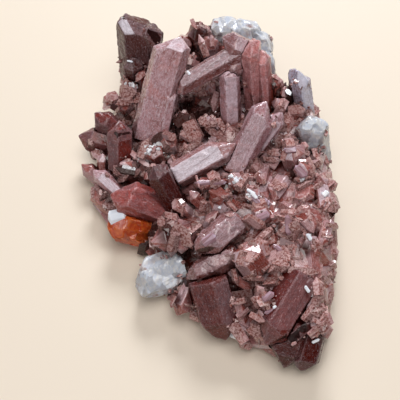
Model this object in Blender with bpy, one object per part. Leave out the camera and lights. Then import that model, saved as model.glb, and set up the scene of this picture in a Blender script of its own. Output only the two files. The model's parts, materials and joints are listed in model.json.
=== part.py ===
"""Hematoid quartz in matrix: iron-stained quartz crystals grown together on a lump of rock.

Lengths in this file are millimetres until a mesh is made. X runs across the display side, Y runs away from it and
Z runs up. A place on a crystal is written (across, up, height): how far across and up it lies on the sight plane,
which faces the display side, and how high it stands above the surface that the specimen rests on.
"""
import math
import random
from collections import namedtuple

import bmesh
import bpy
from mathutils import Matrix, Vector
from mathutils.geometry import delaunay_2d_cdt

MM = 0.001
GAP = 0.34              # clearance between a crystal and whatever it sits in

# Sight plane
SIGHT_RISE = math.radians(62)
SIGHT_DISTANCE = 330.0
SIGHT_CENTRE = Vector((0.0, 0.0, 14.0))
TOWARDS_EYE = Vector((0.0, -math.cos(SIGHT_RISE), math.sin(SIGHT_RISE)))
SIGHT_UP = Vector((0.0, math.sin(SIGHT_RISE), math.cos(SIGHT_RISE)))

# Rock
GROUND_LEVEL = 8.0      # height of the rock between its mounds
GROUND_STEP = 6.0       # mean distance between the rock's corners
GROUND_ROUGHNESS = 1.2
BELLY_HEIGHT = 4.5      # highest level of the widest part of the sides
BELLY_OVERHANG = 1.9
LEDGE_OVERHANG = 0.6
RAGGEDNESS = 0.9        # how far the sides' corners stray in and out
FOOT_INSET = 4.0        # how far the flat underside lies inside the widest part
RIM_SHARE = 0.85        # height of the rock's edge as a share of the ground behind it
LEDGE_SHARE = 0.58      # height of the ledge below that edge, as the same share

# The rock's widest outline in plan, from its back left corner clockwise
OUTLINE = [(-26, 57), (-20, 64), (-11, 63), (-4, 61), (4, 65), (13, 66), (22, 62), (27, 54), (28, 46), (34, 44),
           (39, 39), (42, 29), (43, 14), (43, -2), (43, -18), (42, -32), (38, -44), (32, -51), (25, -49),
           (16, -44), (8, -40), (-1, -36), (-8, -30), (-12, -22), (-15, -14), (-22, -9), (-29, -3), (-34, 5),
           (-36, 13), (-33, 21), (-33, 29), (-29, 36), (-27, 45)]

# Mounds and hollows of the ground: centre in plan, reach along X and Y, height
MOUNDS = [((23, -6), (25, 36), 13.0), ((2, 8), (13, 13), 6.5), ((8, 58), (14, 7), 15.0), ((-19, 57), (9, 8), 7.0),
          ((33, 31), (11, 14), 7.0), ((30, -34), (12, 14), 4.0), ((-2, 37), (10, 8), -4.5), ((13, -34), (5, 4), -8.0),
          ((-4, -19), (4, 4), -5.0), ((-20, 28), (9, 12), 2.0), ((39, -14), (8, 32), 6.0)]

STREWN_COUNT = 46       # small crystals strewn over the rock by chance, besides those placed by hand
STREWN_APART = 5.8
STREWN_CLEARANCE = 2.0  # how far they keep from a placed crystal's axis, besides half its width
EDGE_MARGIN = 1.5       # how far they stay inside the rock's outline
SIDE_COUNT = 22         # crystals that break through the rock's sides
SIDE_BURIED = 4.0

# A crystal stands from foot to tip. Its two broad faces are depth apart, with the first turned towards the eye and
# then by turn degrees about the axis. The pyramid at its tip is point long, and cant shifts its apex sideways as a
# share of half the width.
Crystal = namedtuple("Crystal", "label foot tip width depth point turn cant")


def on_sight_line(across, up, height):
    """The point at this height that is met through this place of the sight plane."""
    eye = SIGHT_CENTRE + TOWARDS_EYE * SIGHT_DISTANCE
    ray = Vector((across, 0.0, 0.0)) + SIGHT_UP * up - TOWARDS_EYE * SIGHT_DISTANCE
    return eye + ray * ((height - eye.z) / ray.z)


def crystal(label, foot, tip, width, depth, point, turn=0.0, cant=0.0):
    """A crystal whose foot and tip are places on the sight plane with their heights."""
    return Crystal(label, on_sight_line(*foot), on_sight_line(*tip), width, depth, point, turn, cant)


def large_crystals():
    """Every crystal, or group of crystals grown into one another, that is a piece of its own."""
    return {
        "pillar_crystals": [
            crystal("pillar", (-17.5, 21, 10), (-8.5, 55, 42), 12.2, 7.6, 4.5, 0, -0.35),
            crystal("pillar_side", (-13, 20, 11), (-9.5, 37.5, 28), 5.0, 5.0, 2.5, 20)],
        "tall_crystals": [
            crystal("tall", (18.5, 29.5, 11), (16.5, 53.5, 42), 7.8, 6.5, 4.0, 12, -0.4),
            crystal("tall_side", (22.5, 28.5, 12), (20.5, 50, 38), 5.4, 6.5, 3.0, -10)],
        "arch_crystals": [
            crystal("arch", (15.5, 50.5, 36), (-9.5, 36.5, 26), 6.8, 6.0, 4.0, 10, 0.2),
            crystal("arch_hood", (18, 48, 33), (7, 53.5, 38.5), 9.5, 8.5, 4.0, 12, -0.2),
            crystal("arch_under", (13.5, 47, 32), (8.5, 41.5, 30), 6.6, 6.0, 2.5, 15)],
        "pink_crystal": [
            crystal("pink", (10.5, 23.5, 9), (9.5, 44.5, 33), 7.0, 5.0, 3.0, 4)],
        "slanting_crystals": [
            crystal("slanting", (11.5, 9, 18), (23.5, 32.5, 34), 9.6, 7.0, 6.0, -6, 0.3),
            crystal("slanting_side", (17, 15, 19), (27.5, 29.5, 32), 6.0, 5.0, 3.5, 16)],
        "lustrous_crystal": [
            crystal("lustrous", (-8, 8, 19), (12.5, 19.5, 27), 9.0, 7.0, 7.5, 0, -0.2)],
        "knob_crystals": [
            crystal("knob_left", (-20.5, 41.5, 8), (-21.8, 61, 37), 13.6, 10.0, 3.6, 4, 0.55),
            crystal("knob_right", (-16.5, 45.5, 10), (-16, 57, 35), 8.0, 8.5, 3.0, 26, 0.3),
            crystal("knob_low", (-21.5, 37.5, 8), (-22.5, 47.5, 24), 7.4, 7.0, 3.0, 30)],
        "spire_crystals": [
            crystal("spire", (35.5, 26.5, 11), (33, 43.5, 35), 7.4, 6.0, 6.0, 18, 0.1),
            crystal("spire_side", (33, 29, 11), (30.5, 44.5, 31), 4.6, 4.6, 4.0)],
        "milky_crystal": [
            crystal("milky", (38.5, 12.5, 7), (37, 28, 27), 11.0, 8.0, 4.5, -8)],
        "rim_crystals": [
            crystal("rim_left", (7.5, 50.5, 11), (8.5, 60.5, 28), 11.5, 8.0, 3.5, 12),
            crystal("rim_middle", (15.5, 50, 11), (15.5, 58.5, 30), 10.5, 8.0, 3.5, -8),
            crystal("rim_right", (20.5, 46, 10), (21, 54, 31), 8.4, 8.0, 3.0, 10),
            crystal("rim_low", (22.5, 40, 10), (22.5, 48.5, 30), 6.0, 7.5, 3.0, 20)],
        "red_crystal": [
            crystal("red", (-10, -5, 7), (-29.5, 3, 18), 12.0, 9.5, 6.0, 8, 0.2)],
        "dark_crystal": [
            crystal("dark", (-6.5, -4.5, 9), (-15.5, 11.5, 29), 8.0, 7.5, 3.0, 20)],
        "lilac_crystal": [
            crystal("lilac", (-26.5, 2, 9), (-35.5, 10, 14), 5.2, 4.6, 3.0)],
        "amber_crystal": [
            crystal("amber", (-17.5, -11, 6), (-31.5, -7.5, 11), 10.0, 9.5, 5.0, 10, 0.1)],
        "clear_chunk": [
            crystal("chunk", (-5.5, -22.5, 8), (-23, -27.5, 8), 15.5, 10.0, 5.0, -6, 0.1)],
        "left_crystals": [
            crystal("left_high", (-26.5, 20.5, 9), (-35, 29, 17), 8.4, 7.5, 4.0, 20),
            crystal("left_far", (-27.5, 17.5, 8), (-40.5, 21.5, 11), 8.4, 8.5, 4.0, 12),
            crystal("left_upright", (-26.5, 10.5, 8), (-27, 26.5, 20), 9.2, 8.0, 4.0, 30)],
        "front_crystal": [
            crystal("front", (2.5, -26.5, 16), (8, -47, 4), 13.5, 10.5, 8.0, 24, 0.1)],
        "maroon_crystal": [
            crystal("maroon", (35, -25.5, 19), (21, -48, 12), 13.6, 10.0, 7.0, -8, 0.1)],
        "toe_crystals": [
            crystal("toe_left", (30.5, -44.5, 10), (28, -56, 4), 12.5, 9.0, 6.0, 14),
            crystal("toe_right", (37, -44.5, 10), (33.5, -57, 4), 9.6, 8.0, 4.0, -10),
            crystal("toe_top", (29.5, -46.5, 13), (37.5, -39.5, 18), 5.2, 5.0, 3.0, 6)],
        "flat_crystal": [
            crystal("flat", (13, -6.5, 20), (-1, -18.5, 20), 9.6, 6.0, 5.0, 0, -0.2)],
        "long_crystal": [
            crystal("long", (12.5, -17, 18), (-5, -26.5, 13), 8.0, 7.0, 4.5, 10)],
    }


def small_crystals_by_hand():
    """Smaller crystals with a place of their own, fused to the rock."""
    return [
        crystal("column_low", (-22, 34, 7), (-24, 38.5, 18), 6.0, 6.0, 2.5, 10),
        crystal("column_block", (-19.5, 35.5, 7), (-20.5, 44, 21), 6.0, 6.0, 2.0, 30),
        crystal("column_foot", (-22.5, 29.5, 6), (-24, 34, 15), 5.0, 5.0, 2.0),
        crystal("bump", (-25.5, 30.5, 5), (-32, 34.5, 13), 5.8, 5.6, 2.5, 20),
        crystal("bump_right", (-22, 28.5, 6), (-26.5, 32.5, 16), 5.6, 5.0, 2.5),
        crystal("left_low", (-32.5, 6, 3), (-39.5, 12, 9), 5.4, 5.0, 3.0, 10),
        crystal("left_step", (-31.5, 13.5, 4), (-35, 18, 11), 5.4, 5.0, 2.5, 25),
        crystal("left_strip", (-32, 8, 4), (-32.5, 15.5, 12), 4.4, 4.4, 2.0),
        crystal("pink_low", (-28.5, -4.5, 4), (-36.5, 3.5, 8), 6.0, 5.6, 3.0),
        crystal("brown_ridge", (-2, -11.5, 12), (-16.5, -14, 17), 8.4, 7.0, 4.0, 15),
        crystal("brown_step", (0, -10.5, 12), (-9, -15.5, 20), 7.4, 6.0, 3.5, -20),
        crystal("brown_foot", (-9.5, -16.5, 7), (-16.5, -10.5, 12), 6.4, 6.0, 3.0, 5),
        crystal("brown_top", (-4.5, -9.5, 12), (-12.5, -8, 19), 6.0, 5.0, 3.0, 30),
        crystal("side_one", (26.5, 29.5, 12), (24, 41.5, 26), 5.4, 5.0, 2.5, 15),
        crystal("side_two", (29.5, 28.5, 12), (28, 38, 25), 5.0, 5.0, 2.5, -15),
        crystal("side_three", (28, 25.5, 12), (25.5, 34, 25), 5.0, 4.6, 2.5, 30),
        crystal("ridge_block", (33.5, 8.5, 15), (30, 18.5, 28), 8.6, 7.5, 3.5, 12),
        crystal("ridge_plate", (36, 4, 15), (33.5, 12.5, 27), 6.4, 5.4, 3.0, -20),
        crystal("ridge_edge", (40.5, 1.5, 12), (40, 8, 23), 6.0, 5.0, 3.0),
        crystal("lying", (9, 6, 19), (-1.5, 5, 23), 4.6, 4.6, 2.5),
        crystal("rib", (2, -2.5, 16), (-3.5, 3, 21), 4.6, 4.0, 2.5, 20),
        crystal("spark_left", (15.5, 2, 18), (10, 9, 27), 6.0, 5.0, 3.0, 10),
        crystal("spark_right", (20.5, -2, 19), (15.5, 4, 27), 5.6, 4.4, 3.0, -10),
        crystal("crust_block", (19, -22.5, 17), (14.5, -16.5, 26), 10.5, 8.0, 2.5, 12),
        crystal("crust_plate", (22.5, -7.5, 18), (18.5, -4, 26), 6.8, 5.6, 3.0),
        crystal("oval_plate", (29.5, -13.5, 18), (29.5, -4.5, 27), 6.0, 4.8, 3.0),
        crystal("ridge_low", (37.5, -19.5, 14), (35.5, -12, 25), 7.0, 6.0, 3.0, 20),
        crystal("ridge_front", (39.5, -37.5, 12), (38.5, -27, 23), 6.0, 6.0, 3.0, -15),
        crystal("ridge_strip", (36.5, -14, 21), (39, -46, 15), 6.4, 6.0, 3.0, 25),
        crystal("front_small", (22.5, -37, 15), (20.5, -30, 23), 5.6, 5.0, 2.5, 10),
        crystal("front_flake", (22, -42, 12), (19.5, -36.5, 19), 4.6, 4.2, 2.5, -10),
        crystal("front_fin", (12, -33.5, 13), (14.5, -46, 6), 6.0, 4.6, 3.0, 10),
        crystal("corner", (-2.5, -28, 9), (-7.5, -38.5, 7), 6.4, 6.4, 2.5, 30),
        crystal("crust_top", (0, 48, 10), (-1, 58, 28), 7.4, 7.0, 3.0, 10),
        crystal("crust_top_left", (-4.5, 46.5, 10), (-5.5, 54.5, 25), 5.6, 5.6, 2.5, 35),
        crystal("crust_lump", (4.5, 46.5, 14), (2.5, 54, 29), 7.0, 6.0, 3.0, -10),
        crystal("inner_dark", (-2.5, 42, 12), (-2, 48.5, 23), 5.6, 5.4, 2.5, 20),
        crystal("hollow_left", (-5.5, 22, 8), (-5.5, 29.5, 17), 6.0, 5.6, 2.5),
        crystal("hollow_right", (2.5, 21.5, 8), (3.5, 27.5, 18), 6.0, 5.6, 2.5, 30),
        crystal("hollow_front", (-9.5, 15.5, 9), (-11.5, 21.5, 17), 6.6, 6.0, 3.0, 10),
        crystal("middle_step", (-13.5, 12, 10), (-16.5, 18, 19), 7.0, 6.0, 3.0, 15),
        crystal("middle_dome", (-22, 7.5, 8), (-26.5, 12.5, 16), 7.6, 7.0, 3.0),
        crystal("middle_back", (-0.5, 13.5, 12), (-3.5, 18.5, 20), 6.6, 6.0, 3.0, 20),
    ]


def clear_scene():
    for thing in list(bpy.data.objects):
        bpy.data.objects.remove(thing, do_unlink=True)


def finish(name, colour, roughness, alpha=1.0):
    """A Principled material in the crystal's own colour."""
    material = bpy.data.materials.new(name)
    material.use_nodes = True
    shader = material.node_tree.nodes["Principled BSDF"]
    shader.inputs["Base Color"].default_value = (*colour, 1.0)
    shader.inputs["Roughness"].default_value = roughness
    shader.inputs["Metallic"].default_value = 0.0
    shader.inputs["Alpha"].default_value = alpha
    material.diffuse_color = (*colour, alpha)
    return material


def all_finishes():
    return {
        "crust": finish("crust", (0.16, 0.075, 0.06), 0.6),
        "coated": finish("coated", (0.19, 0.09, 0.085), 0.4),
        "lavender": finish("lavender", (0.30, 0.19, 0.19), 0.35),
        "maroon": finish("maroon", (0.13, 0.04, 0.04), 0.4),
        "red": finish("red", (0.22, 0.06, 0.035), 0.3),
        "amber": finish("amber", (0.5, 0.13, 0.02), 0.1, 0.6),
        "clear": finish("clear", (0.75, 0.8, 0.82), 0.12, 0.4),
    }


FINISH_OF = {"pillar_crystals": "lavender", "tall_crystals": "maroon", "arch_crystals": "coated",
             "pink_crystal": "lavender", "slanting_crystals": "lavender", "lustrous_crystal": "lavender",
             "knob_crystals": "coated", "spire_crystals": "lavender", "milky_crystal": "clear",
             "rim_crystals": "clear", "red_crystal": "red", "dark_crystal": "maroon", "lilac_crystal": "lavender",
             "amber_crystal": "amber", "clear_chunk": "clear", "left_crystals": "red", "front_crystal": "maroon",
             "maroon_crystal": "maroon", "toe_crystals": "coated", "flat_crystal": "coated",
             "long_crystal": "coated"}


def crystal_planes(one, grow):
    """The faces of a crystal as (point, normal), each moved outwards by grow."""
    chance = random.Random(one.label)
    axis = (one.tip - one.foot).normalized()
    towards = TOWARDS_EYE - axis * TOWARDS_EYE.dot(axis)
    if towards.length < 0.2:
        towards = SIGHT_UP - axis * SIGHT_UP.dot(axis)
    broad = Matrix.Rotation(math.radians(one.turn), 3, axis) @ towards.normalized()
    side = axis.cross(broad)
    reach = one.width / 2 * math.cos(math.radians(30))
    steepness = one.point / reach
    apex = one.tip - side * (one.cant * one.width / 2)
    middle = (one.foot + one.tip) / 2
    planes = [(one.foot - axis * grow, -axis)]
    for k in range(6):
        turned = math.radians(60 * k)
        outwards = broad * math.cos(turned) + side * math.sin(turned)
        distance = (one.depth / 2 if k % 3 == 0 else reach) * chance.uniform(0.92, 1.08)
        planes.append((middle + outwards * (distance + grow), outwards))
        slope = (axis + outwards * steepness).normalized()
        step = chance.uniform(0.0, 0.22) * one.point * (k % 2)
        planes.append((apex + axis * step + slope * grow, slope))
    return planes


def crystal_solid(one, grow=0.0):
    """A closed solid bounded by the crystal's faces."""
    solid = bmesh.new()
    room = (one.tip - one.foot).length + one.width + one.depth
    bmesh.ops.create_cube(solid, size=2 * room, matrix=Matrix.Translation((one.foot + one.tip) / 2))
    for point, normal in crystal_planes(one, grow):
        everything = solid.verts[:] + solid.edges[:] + solid.faces[:]
        cut = bmesh.ops.bisect_plane(solid, geom=everything, dist=1e-5, plane_co=point, plane_no=normal,
                                     clear_outer=True)
        edges = [e for e in cut["geom_cut"] if isinstance(e, bmesh.types.BMEdge)]
        if edges:
            bmesh.ops.edgeloop_fill(solid, edges=edges)
    bmesh.ops.recalc_face_normals(solid, faces=solid.faces[:])
    return solid


def ground_height(x, y):
    """Height of the rock's top at a place in plan."""
    height = GROUND_LEVEL
    for (cx, cy), (rx, ry), rise in MOUNDS:
        height += rise * math.exp(-((x - cx) / rx) ** 2 - ((y - cy) / ry) ** 2)
    return height


def stepped_outline(points, step):
    """A closed outline with corners about a step apart."""
    corners = []
    for here, there in zip(points, points[1:] + points[:1]):
        a, b = Vector(here), Vector(there)
        count = max(1, round((b - a).length / step))
        corners += [a.lerp(b, i / count) for i in range(count)]
    return corners


def offset_outline(corners, distance):
    """The outline moved outwards, or inwards where the distance is negative."""
    moved = []
    for i, here in enumerate(corners):
        along = corners[(i + 1) % len(corners)] - corners[i - 1]
        moved.append(here + Vector((-along.y, along.x)).normalized() * distance)
    return moved


def ragged_ring(solid, chance, edge, distance, low, high):
    """Corners of one level of the rock's sides; low and high give the range of each corner's height."""
    ring = []
    for here, moved in zip(edge, offset_outline(edge, distance)):
        out = (moved - here).normalized() * chance.uniform(-RAGGEDNESS, RAGGEDNESS)
        place = moved + out
        ring.append(solid.verts.new((place.x, place.y, chance.uniform(low(place), high(place)))))
    return ring


def is_inside(point, corners):
    """Whether a place in plan lies inside a closed outline."""
    inside = False
    for a, b in zip(corners, corners[1:] + corners[:1]):
        if (a.y > point.y) != (b.y > point.y):
            if point.x < (b.x - a.x) * (point.y - a.y) / (b.y - a.y) + a.x:
                inside = not inside
    return inside


def ground_corners(chance, outline):
    """Places in plan for the corners of the rock's top, strewn evenly inside the outline."""
    row_step = GROUND_STEP * math.sin(math.radians(60))
    low_x, low_y = min(p.x for p in outline), min(p.y for p in outline)
    columns = int((max(p.x for p in outline) - low_x) / GROUND_STEP) + 2
    rows = int((max(p.y for p in outline) - low_y) / row_step) + 2
    sway = GROUND_STEP * 0.28
    kept = []
    for j in range(rows):
        for i in range(columns):
            place = Vector((low_x + (i + 0.5 * (j % 2)) * GROUND_STEP, low_y + j * row_step))
            place += Vector((chance.uniform(-sway, sway), chance.uniform(-sway, sway)))
            if is_inside(place, outline):
                kept.append(place)
    return kept


def rock_solid():
    """The lump of rock: an uneven top, sides that bulge, and a flat underside."""
    chance = random.Random("rock")
    edge = [c + Vector((chance.uniform(-0.6, 0.6), chance.uniform(-0.6, 0.6)))
            for c in stepped_outline(OUTLINE, GROUND_STEP)]
    inside = ground_corners(chance, offset_outline(edge, -GROUND_STEP * 0.6))
    points, _, faces, _, _, _ = delaunay_2d_cdt(edge + inside, [], [list(range(len(edge)))], 1, 1e-4)
    solid = bmesh.new()
    top = []
    for index, point in enumerate(points):
        height = ground_height(point.x, point.y) * (RIM_SHARE if index < len(edge) else 1.0)
        height += chance.uniform(-GROUND_ROUGHNESS, GROUND_ROUGHNESS)
        top.append(solid.verts.new((point.x, point.y, height)))
    for face in faces:
        solid.faces.new([top[i] for i in face])
    ledge = ragged_ring(solid, chance, edge, LEDGE_OVERHANG,
                        lambda p: ground_height(*p) * LEDGE_SHARE - 1, lambda p: ground_height(*p) * LEDGE_SHARE + 1)
    belly = ragged_ring(solid, chance, edge, BELLY_OVERHANG, lambda p: BELLY_HEIGHT * 0.6, lambda p: BELLY_HEIGHT)
    foot = [solid.verts.new((p.x, p.y, 0.0)) for p in offset_outline(edge, BELLY_OVERHANG - FOOT_INSET)]
    rings = [top[:len(edge)], ledge, belly, foot]
    for upper, lower in zip(rings, rings[1:]):
        for i in range(len(edge)):
            j = (i + 1) % len(edge)
            solid.faces.new([upper[i], upper[j], lower[j], lower[i]])
    solid.faces.new(foot)
    bmesh.ops.recalc_face_normals(solid, faces=solid.faces[:])
    return solid


def distance_to_axis(point, one):
    """How far a point lies from the line between a crystal's foot and tip."""
    along = one.tip - one.foot
    share = max(0.0, min(1.0, (point - one.foot).dot(along) / along.length_squared))
    return (point - one.foot - along * share).length


def ground_upright(x, y):
    """The direction that stands square on the ground at a place in plan."""
    slope_x = (ground_height(x + 1, y) - ground_height(x - 1, y)) / 2
    slope_y = (ground_height(x, y + 1) - ground_height(x, y - 1)) / 2
    return Vector((-slope_x, -slope_y, 1.0)).normalized()


def is_on_heap(spot):
    """Whether a place in plan is on the broad heap, whose crystals stand out only a little."""
    return spot.x > 4 and spot.y < 22


def strewn_crystal(label, centre, chance):
    """A small crystal on the ground: lying and half buried on the broad heap, standing askew elsewhere."""
    upright = ground_upright(centre.x, centre.y)
    sway = Vector((chance.uniform(-0.9, 0.9), chance.uniform(-0.9, 0.9), 0.0))
    if is_on_heap(centre):
        width = chance.uniform(4.0, 7.5)
        depth = width * chance.uniform(0.5, 0.9)
        along = (sway - upright * (sway.dot(upright) - 0.1)).normalized() * chance.uniform(3.0, 5.5)
        middle = centre - upright * depth * 0.15
        foot, tip = middle - along, middle + along
    else:
        width = chance.uniform(3.8, 7.0)
        depth = width * chance.uniform(0.55, 0.95)
        along = (upright + sway).normalized()
        foot, tip = centre - along * 2.6, centre + along * width * chance.uniform(0.6, 1.5)
    return Crystal(label, foot, tip, width, depth, width * chance.uniform(0.25, 0.6), chance.uniform(0, 60),
                   chance.uniform(-0.6, 0.6))


def strewn_crystals(placed):
    """Small crystals strewn over the rock, clear of the axes of the placed ones."""
    chance = random.Random("strewn")
    outline = offset_outline([Vector(p) for p in OUTLINE], -EDGE_MARGIN)
    strewn = []
    for _ in range(20000):
        if len(strewn) == STREWN_COUNT:
            break
        spot = Vector((chance.uniform(-38, 45), chance.uniform(-52, 62)))
        if not is_inside(spot, outline):
            continue
        centre = Vector((spot.x, spot.y, ground_height(*spot)))
        if any(distance_to_axis(centre, one) < STREWN_CLEARANCE + one.width / 2 for one in placed):
            continue
        if any(distance_to_axis(centre, one) < STREWN_APART for one in strewn):
            continue
        one = strewn_crystal(f"strewn_{len(strewn)}", centre, chance)
        if is_inside(one.tip, outline) and is_inside(one.foot, outline):
            strewn.append(one)
    return strewn


def side_crystals(placed):
    """Crystals that break through the rock's sides, low enough to leave its outline as it is."""
    chance = random.Random("sides")
    edge = stepped_outline(OUTLINE, GROUND_STEP)
    outwards = offset_outline(edge, 1.0)
    found = []
    for k in range(SIDE_COUNT):
        index = round((k + chance.uniform(-0.3, 0.3)) * len(edge) / SIDE_COUNT) % len(edge)
        out = (outwards[index] - edge[index]).to_3d()
        height = chance.uniform(4.5, 0.8 * ground_height(*edge[index]))
        spot = edge[index].to_3d() + Vector((0.0, 0.0, height))
        if any(distance_to_axis(spot, one) < STREWN_CLEARANCE + one.width / 2 for one in placed):
            continue
        direction = (out + Vector((chance.uniform(-0.4, 0.4), chance.uniform(-0.4, 0.4),
                                   chance.uniform(0.1, 1.0)))).normalized()
        width = chance.uniform(5.0, 8.5)
        found.append(Crystal(f"side_{k}", spot - direction * SIDE_BURIED, spot + direction * chance.uniform(1.6, 3.0),
                             width, width * chance.uniform(0.6, 0.95), width * chance.uniform(0.2, 0.5),
                             chance.uniform(0, 60), chance.uniform(-0.5, 0.5)))
    return found


def as_object(name, solid):
    """An object in the scene that holds the solid, in metres."""
    bmesh.ops.scale(solid, vec=(MM, MM, MM), verts=solid.verts[:])
    mesh = bpy.data.meshes.new(name)
    solid.to_mesh(mesh)
    solid.free()
    thing = bpy.data.objects.new(name, mesh)
    bpy.context.scene.collection.objects.link(thing)
    return thing


def combine(thing, solids, operation):
    """Joins the solids to the object, or cuts them out of it."""
    tools = bpy.data.collections.new("tools")
    bpy.context.scene.collection.children.link(tools)
    for index, solid in enumerate(solids):
        tool = as_object(f"tool_{index}", solid)
        bpy.context.scene.collection.objects.unlink(tool)
        tools.objects.link(tool)
    boolean = thing.modifiers.new("combine", "BOOLEAN")
    boolean.operation = operation
    boolean.operand_type = "COLLECTION"
    boolean.collection = tools
    boolean.solver = "EXACT"
    bpy.context.view_layer.update()
    result = bpy.data.meshes.new_from_object(thing.evaluated_get(bpy.context.evaluated_depsgraph_get()))
    thing.modifiers.clear()
    for tool in list(tools.objects):
        bpy.data.objects.remove(tool, do_unlink=True)
    bpy.data.collections.remove(tools)
    thing.data = result


def keep_largest_body(mesh):
    """Merges what meets in a point, and leaves only the body with the most corners."""
    solid = bmesh.new()
    solid.from_mesh(mesh)
    bmesh.ops.remove_doubles(solid, verts=solid.verts[:], dist=0.00001)
    bmesh.ops.dissolve_degenerate(solid, dist=0.00001, edges=solid.edges[:])
    bmesh.ops.triangulate(solid, faces=solid.faces[:])
    unseen = set(solid.verts)
    bodies = []
    while unseen:
        front = [unseen.pop()]
        body = set(front)
        while front:
            for edge in front.pop().link_edges:
                for vert in edge.verts:
                    if vert in unseen:
                        unseen.discard(vert)
                        body.add(vert)
                        front.append(vert)
        bodies.append(body)
    bodies.sort(key=len)
    spare = [v for body in bodies[:-1] for v in body]
    bmesh.ops.delete(solid, geom=spare, context="VERTS")
    solid.to_mesh(mesh)
    solid.free()


def box_of(crystals, margin):
    """The lowest and highest corner of a box that holds the crystals."""
    ends = [p for one in crystals for p in (one.foot, one.tip)]
    reach = max(one.width + one.depth for one in crystals) / 2 + margin
    low = [min(p[k] for p in ends) - reach for k in range(3)]
    high = [max(p[k] for p in ends) + reach for k in range(3)]
    return low, high


def boxes_meet(a, b):
    return all(a[0][k] < b[1][k] and b[0][k] < a[1][k] for k in range(3))


def build_crystals(groups, finishes):
    """Each group as one solid, the later ones cut back where they meet the earlier ones."""
    earlier = []
    for name, crystals in groups.items():
        thing = as_object(name, crystal_solid(crystals[0]))
        if len(crystals) > 1:
            combine(thing, [crystal_solid(one) for one in crystals[1:]], "UNION")
        box = box_of(crystals, GAP)
        near = [one for group in earlier for one in group if boxes_meet(box, box_of(group, GAP))]
        if near:
            combine(thing, [crystal_solid(one, GAP) for one in near], "DIFFERENCE")
        keep_largest_body(thing.data)
        thing.data.materials.clear()
        thing.data.materials.append(finishes[FINISH_OF[name]])
        earlier.append(crystals)


def build_matrix(groups, finishes):
    """The rock with its small crystals, and a socket for each large one."""
    large = [one for crystals in groups.values() for one in crystals]
    by_hand = small_crystals_by_hand()
    matrix = as_object("matrix", rock_solid())
    small = by_hand + strewn_crystals(large + by_hand) + side_crystals(large + by_hand)
    combine(matrix, [crystal_solid(one) for one in small], "UNION")
    combine(matrix, [crystal_solid(one, GAP) for one in large], "DIFFERENCE")
    keep_largest_body(matrix.data)
    matrix.data.materials.clear()
    matrix.data.materials.append(finishes["crust"])


def stand_on_origin():
    """Carries all the pieces on one empty, placed so that the origin is under the middle of the specimen."""
    pieces = list(bpy.data.objects)
    corners = [v.co for thing in pieces for v in thing.data.vertices]
    low = Vector([min(c[k] for c in corners) for k in range(3)])
    high = Vector([max(c[k] for c in corners) for k in range(3)])
    specimen = bpy.data.objects.new("specimen", None)
    bpy.context.scene.collection.objects.link(specimen)
    specimen.location = (-(low.x + high.x) / 2, -(low.y + high.y) / 2, -low.z)
    for thing in pieces:
        thing.parent = specimen


def main():
    clear_scene()
    finishes = all_finishes()
    groups = large_crystals()
    build_crystals(groups, finishes)
    build_matrix(groups, finishes)
    stand_on_origin()


main()
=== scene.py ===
"""Hematoid quartz in matrix: the surfaces of the rock and of each crystal, in soft light on a pale floor.

Lengths are in metres. Those written as a number times MM are millimetres.
"""
import json
import math
import random

import bmesh
import bpy
import numpy as np
from mathutils import Euler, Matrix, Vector, noise
from mathutils.bvhtree import BVHTree
from mathutils.kdtree import KDTree

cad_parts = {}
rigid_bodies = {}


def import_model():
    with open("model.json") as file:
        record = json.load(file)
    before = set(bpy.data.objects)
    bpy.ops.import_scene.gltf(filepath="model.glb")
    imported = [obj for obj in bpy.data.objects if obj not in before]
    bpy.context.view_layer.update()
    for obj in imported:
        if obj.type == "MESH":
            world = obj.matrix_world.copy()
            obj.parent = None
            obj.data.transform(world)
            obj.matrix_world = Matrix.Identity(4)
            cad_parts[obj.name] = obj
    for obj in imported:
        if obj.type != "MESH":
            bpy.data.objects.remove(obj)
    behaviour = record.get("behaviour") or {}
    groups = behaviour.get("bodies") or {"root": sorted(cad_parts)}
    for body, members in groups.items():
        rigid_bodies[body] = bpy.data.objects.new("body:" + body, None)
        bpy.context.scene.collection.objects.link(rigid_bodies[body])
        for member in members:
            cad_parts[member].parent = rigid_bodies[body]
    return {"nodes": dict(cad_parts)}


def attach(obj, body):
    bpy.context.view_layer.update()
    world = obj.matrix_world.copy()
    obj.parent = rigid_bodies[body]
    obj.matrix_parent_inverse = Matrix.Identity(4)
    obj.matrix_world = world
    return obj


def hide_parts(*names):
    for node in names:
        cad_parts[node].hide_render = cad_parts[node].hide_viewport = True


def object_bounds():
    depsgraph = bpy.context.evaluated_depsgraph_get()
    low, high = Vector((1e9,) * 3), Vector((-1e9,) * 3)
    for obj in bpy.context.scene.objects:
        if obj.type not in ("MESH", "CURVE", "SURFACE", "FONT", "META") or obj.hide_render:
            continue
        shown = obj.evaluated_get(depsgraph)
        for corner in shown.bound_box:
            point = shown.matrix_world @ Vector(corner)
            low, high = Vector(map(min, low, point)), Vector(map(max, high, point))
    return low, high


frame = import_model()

MM = 0.001
CAD_LOW, CAD_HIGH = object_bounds()

# Sight plane: the photograph's view, with its own pixels, which are a third of a millimetre
SIGHT_RISE = math.radians(62)
SIGHT_DISTANCE = 330 * MM
SIGHT_CENTRE = Vector((-1.71, -6.56, 14.0)) * MM
TOWARDS_EYE = Vector((0.0, -math.cos(SIGHT_RISE), math.sin(SIGHT_RISE)))
SIGHT_UP = Vector((0.0, math.sin(SIGHT_RISE), math.cos(SIGHT_RISE)))
PIXEL = MM / 3
PICTURE_MIDDLE = 200

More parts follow.
